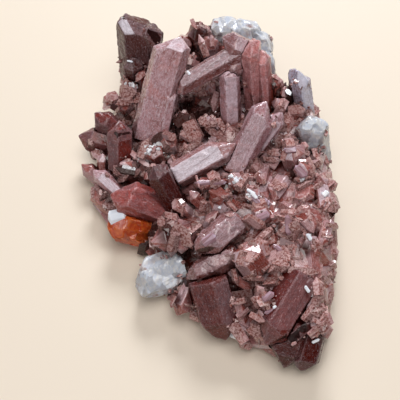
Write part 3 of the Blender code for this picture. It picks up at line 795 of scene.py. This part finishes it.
def coat_group():
    """The colour, gloss and relief of quartz with a coat of iron oxide.

    Streaks follow the grain map, cloudy tones follow the place in the object, edges are worn pale and partly a painted
    highlight, hollows get painted shade, specks are painted glints and each face has its own tone and a painted sheen.
    """
    t = Tree("iron_coat", "ShaderNodeTree")
    for name, value in (("Deep", (0.05, 0.015, 0.012, 1)), ("Coat", (0.15, 0.06, 0.055, 1)),
                        ("Pale", (0.4, 0.27, 0.28, 1)), ("Glow", (0.25, 0.05, 0.03, 1)),
                        ("Sheen", (0.5, 0.47, 0.56, 1))):
        t.socket(name, "NodeSocketColor", value)
    for name, value in (("Streaks", 0.5), ("Specks", 0.3), ("Glowing", 0.3), ("Worn", 0.6), ("Shine", 0.3),
                        ("Grit", 0.5)):
        t.socket(name, "NodeSocketFloat", value)
    t.socket("Tilting", "NodeSocketFloat", 0.1)
    for name, kind in (("Color", "NodeSocketColor"), ("Roughness", "NodeSocketFloat"), ("Height", "NodeSocketFloat"),
                       ("Tilted", "NodeSocketVector")):
        t.socket(name, kind, output=True)
    given = t.inside.outputs
    place = t.node("ShaderNodeTexCoord").outputs["Object"]
    grain = t.node("ShaderNodeUVMap", {"uv_map": "grain"}).outputs[0]
    stretched = t.node("ShaderNodeMapping", Vector=grain, Scale=(1.0, 0.16, 1.0)).outputs[0]
    streak = noise_value(t, stretched, 3.2, 4.0, 0.65, 0.9)
    cloud = noise_value(t, place, 150.0, 3.0, 0.6, 0.4)
    blotch = noise_value(t, place, 800.0, 3.0, 0.65, 0.8)
    fine = noise_value(t, place, 2400.0, 2.0, 0.65)
    patch = noise_value(t, place, 230.0, 2.0, 0.5, 0.6)
    creased = t.node("ShaderNodeAttribute", {"attribute_name": "creased"}).outputs["Fac"]
    worn = t.node("ShaderNodeAttribute", {"attribute_name": "worn"}).outputs["Fac"]
    hollow = t.node("ShaderNodeAttribute", {"attribute_name": "hollow"}).outputs["Fac"]
    tone = t.node("ShaderNodeAttribute", {"attribute_name": "tone"}).outputs["Fac"]
    sheen = t.node("ShaderNodeAttribute", {"attribute_name": "sheen"}).outputs["Fac"]

    lightness = sums(t, "ADD", sums(t, "MULTIPLY", tone, 0.5), ranged(t, cloud, 0.36, 0.64, -0.05, 0.4))
    lightness = sums(t, "ADD", lightness, ranged(t, blotch, 0.36, 0.64, -0.2, 0.45))
    base = mixed(t, lightness, given["Deep"], given["Coat"])
    streaked = sums(t, "MULTIPLY", ranged(t, streak, 0.51, 0.64), given["Streaks"])
    base = mixed(t, streaked, base, given["Pale"])
    glowing = sums(t, "MULTIPLY", ranged(t, patch, 0.54, 0.70), given["Glowing"])
    base = mixed(t, glowing, base, given["Glow"])
    # painted sheen: a reflection painted into the colour on the faces named for it
    shining = sums(t, "MULTIPLY", sheen, ranged(t, streak, 0.30, 0.62, 0.45, 1.0))
    base = mixed(t, shining, base, given["Sheen"])
    drawn_out = t.node("ShaderNodeMapping", Vector=grain, Scale=(1.0, 0.35, 1.0)).outputs[0]
    # pale flecks in the sheen colour: painted glints
    glint_fleck = noise_value(t, drawn_out, 3.6, 3.0, 0.6, 1.2)
    glint_specked = sums(t, "MULTIPLY", ranged(t, glint_fleck, 0.61, 0.68), given["Specks"])
    base = mixed(t, glint_specked, base, given["Sheen"])
    # edges and ridges paler: part wear and dust, part painted highlight
    worn_here = sums(t, "MULTIPLY", sums(t, "MULTIPLY", worn, ranged(t, fine, 0.34, 0.56)), given["Worn"])
    base = mixed(t, worn_here, base, given["Pale"])
    # painted shade in the hollows
    base = mixed(t, ranged(t, hollow, 0.40, 0.85, 0.0, 0.95), base, shade_socket(t, given["Deep"], 0.3))
    base = mixed(t, ranged(t, creased, 0.0, 0.7, 0.0, 0.65), base, given["Deep"])
    foot = t.node("ShaderNodeAttribute", {"attribute_name": "foot"}).outputs["Fac"]
    buried = sums(t, "MULTIPLY", ranged(t, foot, 0.1, 0.8, 0.0, 0.9), ranged(t, cloud, 0.4, 0.56))
    base = mixed(t, buried, base, given["Deep"])
    grainy = ranged(t, fine, 0.35, 0.65, 0.6, 1.35)
    base = mixed(t, given["Grit"], base, t.node("ShaderNodeCombineColor", Red=grainy, Green=grainy, Blue=grainy).outputs[0],
                 "MULTIPLY")
    t.feed(t.outside.inputs["Color"], base)
    gloss = ranged(t, streak, 0.35, 0.65, 0.06, -0.06)
    duller = sums(t, "ADD", sums(t, "ADD", given["Shine"], gloss), sums(t, "MULTIPLY", sheen, -0.12))
    t.feed(t.outside.inputs["Roughness"], duller)
    relief = sums(t, "ADD", sums(t, "MULTIPLY", streak, 0.7), sums(t, "MULTIPLY", fine, 0.5))
    t.feed(t.outside.inputs["Height"], relief)
    t.feed(t.outside.inputs["Tilted"], tilted_normal(t, place, 1300.0, given["Tilting"]))
    return t.tree


def tilted_normal(t, place, scale, amount):
    """The surface's direction, turned a little another way on each of many tiny flat faces."""
    cells = t.node("ShaderNodeTexVoronoi", Vector=place, Scale=scale)
    centred = t.node("ShaderNodeVectorMath", {"operation": "SUBTRACT"})
    t.feed(centred.inputs[0], cells.outputs["Color"])
    t.feed(centred.inputs[1], (0.5, 0.5, 0.5))
    turned = t.node("ShaderNodeVectorMath", {"operation": "SCALE"})
    t.feed(turned.inputs[0], centred.outputs[0])
    t.feed(turned.inputs["Scale"], amount)
    added = t.node("ShaderNodeVectorMath", {"operation": "ADD"})
    t.feed(added.inputs[0], t.node("ShaderNodeNewGeometry").outputs["Normal"])
    t.feed(added.inputs[1], turned.outputs[0])
    unit = t.node("ShaderNodeVectorMath", {"operation": "NORMALIZE"})
    t.feed(unit.inputs[0], added.outputs[0])
    return unit.outputs[0]


def shade_socket(t, colour, share):
    """A colour socket's colour, darkened."""
    return mixed(t, 1.0, colour, (share, share, share, 1), "MULTIPLY")


def shade(colour, factors):
    """A colour with each of its channels changed in its own proportion."""
    return tuple(min(1.0, c * f) for c, f in zip(colour, factors))


def towards(colour, other, share):
    return tuple(a + (b - a) * share for a, b in zip(colour, other))


# the colour of the painted sheen and of the painted glints
LAVENDER_WHITE = (0.86, 0.82, 0.92)


SUBDUED = {"gloss": 0.15, "coat": 0.15, "paleness": 0.22, "relief": 0.1}     # for the darkest crystals


def coated_quartz(name, group, base, streaks=0.5, glint_specks=0.3, glowing=0.3, worn=0.6, shine=0.15, relief=0.16,
                  gloss=0.3, coat=0.65, grit=0.35, tilting=0.15, paleness=0.5,
                  dust_and_sheen=(0.84, 0.79, 0.88)):
    """Quartz under a thin coat of iron oxide, its tones all taken from one base colour."""
    s = Shader(name)
    deep = shade(base, (0.42, 0.17, 0.11))
    # the pale of streaks and worn edges: part dust, part painted sheen
    pale = towards(base, dust_and_sheen, paleness)
    glow = shade(base, (1.2, 0.7, 0.55))
    coating = s.group(group, Deep=(*deep, 1), Coat=(*base, 1), Pale=(*pale, 1), Glow=(*glow, 1),
                      Sheen=(*towards(base, LAVENDER_WHITE, 0.8), 1),
                      Streaks=streaks, Specks=glint_specks, Glowing=glowing, Worn=worn, Shine=shine, Grit=grit, Tilting=tilting)
    bump = s.node("ShaderNodeBump", Height=coating.outputs["Height"], Normal=coating.outputs["Tilted"], Strength=0.6,
                  Distance=relief * MM)
    s.set(Base_Color=coating.outputs["Color"], Roughness=coating.outputs["Roughness"], Normal=bump.outputs[0],
          IOR=1.5, Specular_IOR_Level=gloss, Coat_Weight=coat, Coat_Roughness=0.06)
    return s.material


def clear_quartz(name, tint, cloudy, stain, thickness_colour, thickness_density, roughness, clearness, stained=0.8):
    """Clear quartz with cracks and veils inside, stained by the iron at its foot."""
    s = Shader(name)
    place = s.node("ShaderNodeTexCoord").outputs["Object"]
    veil = noise_value(s, place, 330.0, 4.0, 0.65, 1.5)
    shifted = s.node("ShaderNodeVectorMath", {"operation": "MULTIPLY_ADD"})
    bend = s.node("ShaderNodeTexNoise", Vector=place, Scale=260.0, Detail=2.0)
    s.feed(shifted.inputs[0], bend.outputs["Color"])
    s.feed(shifted.inputs[1], (0.003, 0.003, 0.003))
    s.feed(shifted.inputs[2], place)
    cells = s.node("ShaderNodeTexVoronoi", Vector=shifted.outputs[0], Scale=420.0)
    cracks = s.node("ShaderNodeTexVoronoi", {"feature": "DISTANCE_TO_EDGE"}, Vector=shifted.outputs[0], Scale=300.0)
    cell_tone = s.node("ShaderNodeSeparateColor", Color=cells.outputs["Color"]).outputs[0]
    foot = s.node("ShaderNodeAttribute", {"attribute_name": "foot"}).outputs["Fac"]
    worn = s.node("ShaderNodeAttribute", {"attribute_name": "worn"}).outputs["Fac"]
    sheen = s.node("ShaderNodeAttribute", {"attribute_name": "sheen"}).outputs["Fac"]
    streaky = s.node("ShaderNodeMapping", Vector=place, Rotation=(0.4, 0.7, 0.3), Scale=(1.0, 0.25, 1.0))
    wisps = noise_value(s, streaky.outputs[0], 700.0, 4.0, 0.7, 0.8)
    icy = sums(s, "ADD", ranged(s, wisps, 0.46, 0.60, -0.1, 0.7), ranged(s, veil, 0.45, 0.62, -0.2, 0.6))
    colour = mixed(s, icy, (*tint, 1), (*cloudy, 1))
    colour = mixed(s, ranged(s, cracks.outputs["Distance"], 0.04, 0.0, 0.0, 0.35), colour, (*cloudy, 1))
    at_foot = sums(s, "MULTIPLY", ranged(s, foot, 0.2, 0.7), ranged(s, veil, 0.56, 0.44, 0.1, 1.0))
    spots = ranged(s, noise_value(s, place, 110.0, 3.0, 0.6, 0.6), 0.55, 0.64)
    colour = mixed(s, sums(s, "MULTIPLY", sums(s, "MAXIMUM", at_foot, spots), stained), colour, (*stain, 1))
    colour = mixed(s, ranged(s, worn, 0.3, 1.0, 0.0, 0.7), colour, (*cloudy, 1))
    # painted highlight: white on the faces named for a sheen
    colour = mixed(s, ranged(s, sheen, 0.2, 1.0), colour, (1.0, 1.0, 1.0, 1))
    height = sums(s, "ADD", sums(s, "MULTIPLY", cell_tone, 0.5), wisps)
    bump = s.node("ShaderNodeBump", Height=height, Normal=tilted_normal(s, shifted.outputs[0], 270.0, 1.0),
                  Strength=0.6, Distance=0.3 * MM)
    s.set(Base_Color=colour, Roughness=roughness, Normal=bump.outputs[0], IOR=1.544, Transmission_Weight=clearness)
    absorb = s.node("ShaderNodeVolumeAbsorption", Color=(*thickness_colour, 1), Density=thickness_density)
    s.tree.links.new(absorb.outputs[0], s.output.inputs["Volume"])
    return s.material


def grain_material(name, dark, brown, pale, edge, roughness, edged=0.7):
    """Small crystals, each in its own tone, with paler edges and painted shade in their hollows."""
    s = Shader(name)
    tone = s.node("ShaderNodeAttribute", {"attribute_name": "tone"}).outputs["Fac"]
    rim = s.node("ShaderNodeAttribute", {"attribute_name": "rim"}).outputs["Fac"]
    place = s.node("ShaderNodeTexCoord").outputs["Object"]
    fine = noise_value(s, place, 1500.0, 2.0, 0.6)
    cloud = noise_value(s, place, 130.0, 2.0, 0.6)
    side = s.node("ShaderNodeAttribute", {"attribute_name": "side"}).outputs["Fac"]
    mixture = sums(s, "ADD", sums(s, "MULTIPLY", tone, 0.6), sums(s, "MULTIPLY", side, 0.4))
    colour = mixed(s, ranged(s, mixture, 0.1, 0.75), (*dark, 1), (*brown, 1))
    colour = mixed(s, sums(s, "MULTIPLY", ranged(s, mixture, 0.66, 0.92), ranged(s, cloud, 0.38, 0.6)), colour, (*pale, 1))
    colour = mixed(s, ranged(s, cloud, 0.5, 0.3, 0.0, 0.7), colour, (*dark, 1))
    along_edge = sums(s, "MULTIPLY", ranged(s, rim, 0.72, 0.95), ranged(s, fine, 0.36, 0.6, 0.0, edged))
    colour = mixed(s, along_edge, colour, (*edge, 1))
    # painted shade in the hollows
    hollow = s.node("ShaderNodeAttribute", {"attribute_name": "hollow"}).outputs["Fac"]
    colour = mixed(s, ranged(s, hollow, 0.40, 0.82, 0.0, 0.94), colour, (*shade(dark, (0.25, 0.2, 0.18)), 1))
    s.set(Base_Color=colour, Roughness=ranged(s, fine, 0.3, 0.7, roughness - 0.1, roughness + 0.1), IOR=1.5,
          Specular_IOR_Level=0.5)
    return s.material


def rock_material(group):
    return coated_quartz("rock_crust", group, (0.29, 0.066, 0.047), streaks=0.5, glint_specks=0.5, glowing=0.35, worn=0.45,
                         shine=0.12, relief=0.1, coat=0.7, grit=0.15, tilting=0.14, paleness=0.38, dust_and_sheen=(0.88, 0.64, 0.64))


def dress_crystals(group):
    """Builds every crystal's visible form and gives it its finish."""
    finish_of = {
        "pillar_crystals": coated_quartz("pillar_quartz", group, (0.52, 0.30, 0.33), streaks=0.85, glint_specks=0.9),
        "pink_crystal": coated_quartz("pink_quartz", group, (0.66, 0.43, 0.50), streaks=0.25),
        "slanting_crystals": coated_quartz("slanting_quartz", group, (0.38, 0.185, 0.21), streaks=0.35, glint_specks=0.6),
        "spire_crystals": coated_quartz("spire_quartz", group, (0.46, 0.49, 0.68), streaks=0.8, shine=0.2),
        "tall_crystals": coated_quartz("tall_quartz", group, (0.62, 0.25, 0.25), streaks=0.25, glowing=0.4),
        "arch_crystals": coated_quartz("arch_quartz", group, (0.28, 0.105, 0.10), streaks=0.3, glint_specks=0.8),
        "knob_crystals": coated_quartz("knob_quartz", group, (0.10, 0.022, 0.014), streaks=0.4, glint_specks=0.5, **SUBDUED),
        "flat_crystal": coated_quartz("flat_quartz", group, (0.27, 0.105, 0.10), streaks=0.4, glint_specks=0.4, paleness=0.4),
        "long_crystal": coated_quartz("long_quartz", group, (0.25, 0.088, 0.078), streaks=0.4, glint_specks=0.4, paleness=0.35),
        "toe_crystals": coated_quartz("toe_quartz", group, (0.085, 0.010, 0.005), streaks=0.2, worn=0.4, **SUBDUED),
        "maroon_crystal": coated_quartz("maroon_quartz", group, (0.150, 0.019, 0.012), streaks=0.15, glowing=0.5, **SUBDUED),
        "front_crystal": coated_quartz("front_quartz", group, (0.125, 0.017, 0.009), streaks=0.2, glowing=0.4, worn=0.4, **SUBDUED),
        "dark_crystal": coated_quartz("dark_quartz", group, (0.09, 0.009, 0.004), streaks=0.2, glowing=0.4, worn=0.35, **SUBDUED),
        "red_crystal": coated_quartz("red_quartz", group, (0.28, 0.027, 0.012), paleness=0.3, coat=0.35, streaks=0.4, glowing=0.7, shine=0.3),
        "left_crystals": coated_quartz("left_quartz", group, (0.145, 0.013, 0.005), paleness=0.2, coat=0.2,
                                       streaks=0.15, glowing=0.7, shine=0.25),
        "lustrous_crystal": coated_quartz("lustrous_quartz", group, (0.33, 0.13, 0.12), streaks=0.9, glint_specks=0.8,
                                          shine=0.28),
        "lilac_crystal": coated_quartz("lilac_quartz", group, (0.44, 0.22, 0.24), streaks=0.8, shine=0.28)}
    clear = clear_quartz("clear_quartz", (0.76, 0.82, 0.95), (1.0, 1.0, 1.0), (0.33, 0.14, 0.10),
                         (0.9, 0.95, 1.0), 2.0, 0.05, 0.42)
    amber = clear_quartz("amber_quartz", (0.62, 0.065, 0.012), (0.88, 0.20, 0.04), (0.30, 0.04, 0.01),
                         (0.95, 0.30, 0.05), 30.0, 0.05, 0.4, 0.7)
    finish_of.update({"milky_crystal": clear, "rim_crystals": clear, "clear_chunk": clear, "amber_crystal": amber})
    broken = {"flat_crystal": 0.3 * MM, "long_crystal": 0.3 * MM}
    cuts = {"clear_chunk": (16, 1.6 * MM), "milky_crystal": (12, 1.2 * MM), "rim_crystals": (22, 1.5 * MM),
            "knob_crystals": (8, 1.2 * MM), "spire_crystals": (6, 0.9 * MM), "front_crystal": (5, 0.8 * MM),
            "maroon_crystal": (6, 0.8 * MM), "amber_crystal": (9, 1.2 * MM), "flat_crystal": (6, 1.0 * MM),
            "long_crystal": (6, 1.0 * MM), "left_crystals": (6, 0.8 * MM), "toe_crystals": (8, 0.8 * MM)}
    for seed, name in enumerate(CRYSTALS):
        piece = crystal_piece(name, seed * 5 + 3, broken=broken.get(name, 0.0), cuts=cuts.get(name, (2, 0.5 * MM)))
        piece.data.materials.clear()
        piece.data.materials.append(finish_of[name])


def dress_rock(group):
    mesh = rock_mesh()
    mesh.materials.clear()
    mesh.materials.append(rock_material(group))
    finished_piece("matrix_look", mesh, "matrix")
    block_shapes = [small_crystal("block_six", 6, 0.35, 0.1, 0.8), small_crystal("block_four", 4, 0.3, -0.1, 0.7)]
    grain_shapes = [small_crystal("grain_four", 4, 0.4, 0.1, poked=False)]
    blade_shapes = [small_crystal("blade", 4, 0.2, 0.2, 0.16, poked=False)]
    print("rock", len(mesh.polygons))
    tree = druse_tree()
    dark, brown, pale = (0.055, 0.011, 0.007), (0.26, 0.068, 0.048), (0.46, 0.27, 0.26)
    blocks = grain_material("crust_blocks", (0.09, 0.020, 0.013), (0.28, 0.076, 0.058), (0.46, 0.29, 0.32),
                            (0.62, 0.42, 0.41), 0.12)
    grains = grain_material("crust_grains", dark, brown, pale, (0.66, 0.50, 0.48), 0.2, 0.3)
    blades = grain_material("crust_blades", brown, pale, (0.6, 0.5, 0.5), (0.6, 0.48, 0.46), 0.3)
    # near-white grains: painted glints
    sparkling = grain_material("bright_grains", (0.45, 0.42, 0.48), (0.8, 0.8, 0.88), (1.0, 1.0, 1.0),
                               (1.0, 1.0, 1.0), 0.12)
    druse("crust_blocks", mesh.copy(), tree, block_shapes, "crust", Density=0.8e5, Smallest=2.4 * MM,
          Largest=7.5 * MM, Crowding=1.7, Upright=1.35, Leaning=1.75, Slimmest=0.28, Tallest=1.5, Seed=4, Finish=blocks)
    druse("crust_grains", mesh.copy(), tree, grain_shapes, "crust", Density=0.7e5, Smallest=0.3 * MM,
          Largest=1.0 * MM, Crowding=2.2, Upright=0.0, Leaning=3.1, Slimmest=0.5, Tallest=1.4, Seed=24,
          Finish=grains)
    druse("crust_blades", mesh.copy(), tree, blade_shapes, "crust", Density=0.5e5, Smallest=1.2 * MM,
          Largest=4.0 * MM, Crowding=1.8, Upright=0.3, Leaning=1.3, Slimmest=0.7, Tallest=1.0, Seed=44,
          Finish=blades)
    feet = foot_mesh()
    druse("foot_blocks", feet.copy(), tree, block_shapes, "crust", Density=1.0e5, Smallest=1.2 * MM,
          Largest=3.4 * MM, Crowding=1.6, Upright=0.2, Leaning=1.2, Slimmest=0.5, Tallest=1.3, Seed=75, Finish=blocks)
    druse("foot_grains", feet, tree, grain_shapes, "crust", Density=5e5, Smallest=0.35 * MM, Largest=1.4 * MM,
          Crowding=1.8, Upright=0.0, Leaning=3.1, Slimmest=0.5, Tallest=1.4, Seed=64, Finish=grains)
    # the painted glint grains grow only at the glint spots
    bright = mesh.copy()
    level = np.zeros(len(bright.vertices), np.float32)
    bright.attributes["bright"].data.foreach_get("value", level)
    bright.attributes["growth"].data.foreach_set("value", level)
    druse("bright_grains", bright, tree, grain_shapes, "clear", Density=6e5, Smallest=0.6 * MM, Largest=2.4 * MM,
          Crowding=1.6, Upright=0.0, Leaning=3.1, Slimmest=0.5, Tallest=1.3, Seed=9, Finish=sparkling)
    # lavender shards are painted sheen; the white glints and the near-white shards are painted highlights
    lavender = grain_material("lavender_shards", (0.22, 0.10, 0.11), (0.40, 0.25, 0.30), (0.56, 0.45, 0.56),
                              (0.66, 0.56, 0.64), 0.14)
    white = (0.94, 0.96, 1.0)
    glinting = grain_material("white_glint", (0.70, 0.76, 0.88), white, white, white, 0.12)
    lying_crystals("bright_shards", PAINTED_GLINT_SHARDS, 0.8, 1.7, glinting)
    lying_crystals("white_glints", WHITE_GLINTS, 0.9, 12, glinting)
    lying_crystals("lavender_shards", PAINTED_SHEEN_SHARDS, 0.5, 12, lavender)


def make_floor():
    bpy.ops.mesh.primitive_plane_add(size=4.0, location=(0, 0, -0.05 * MM))
    floor = bpy.context.object
    floor.name = "floor"
    s = Shader("pale_floor")
    s.set(Base_Color=(0.72, 0.63, 0.52, 1), Roughness=0.6)
    floor.data.materials.append(s.material)


def soft_light(name, place, size, power, colour):
    lamp = bpy.data.lights.new(name, "AREA")
    lamp.shape = "RECTANGLE"
    lamp.size, lamp.size_y = size
    lamp.energy = power
    lamp.color = colour
    thing = bpy.data.objects.new(name, lamp)
    thing.location = place
    thing.rotation_euler = Vector(place).to_track_quat("Z", "Y").to_euler()
    bpy.context.scene.collection.objects.link(thing)


def light_scene():
    soft_light("window", (0.06, 0.58, 0.46), (0.26, 0.20), 4.5, (0.93, 0.96, 1.0))
    soft_light("sky", (0.05, -0.03, 0.85), (0.6, 0.5), 4.4, (1.0, 0.98, 0.97))
    soft_light("room", (-0.35, -0.45, 0.6), (0.8, 0.8), 1.7, (1.0, 0.96, 0.92))
    world = bpy.data.worlds.new("soft_room")
    world.use_nodes = True
    world.node_tree.nodes["Background"].inputs["Color"].default_value = (0.95, 0.96, 1.0, 1)
    world.node_tree.nodes["Background"].inputs["Strength"].default_value = 0.12
    bpy.context.scene.world = world
    bpy.context.scene.view_settings.view_transform = "Standard"


def make_camera():
    camera = bpy.data.cameras.new("camera")
    camera.sensor_width = 36.0
    camera.angle = 2 * math.atan(PICTURE_MIDDLE * PIXEL / SIGHT_DISTANCE)
    camera.clip_start = 0.01
    holder = bpy.data.objects.new("camera", camera)
    holder.location = SIGHT_CENTRE + TOWARDS_EYE * SIGHT_DISTANCE
    holder.rotation_euler = TOWARDS_EYE.to_track_quat("Z", "Y").to_euler()
    bpy.context.scene.collection.objects.link(holder)
    bpy.context.scene.camera = holder


make_camera()
light_scene()
make_floor()
iron_coat = coat_group()
dress_crystals(iron_coat)
dress_rock(iron_coat)
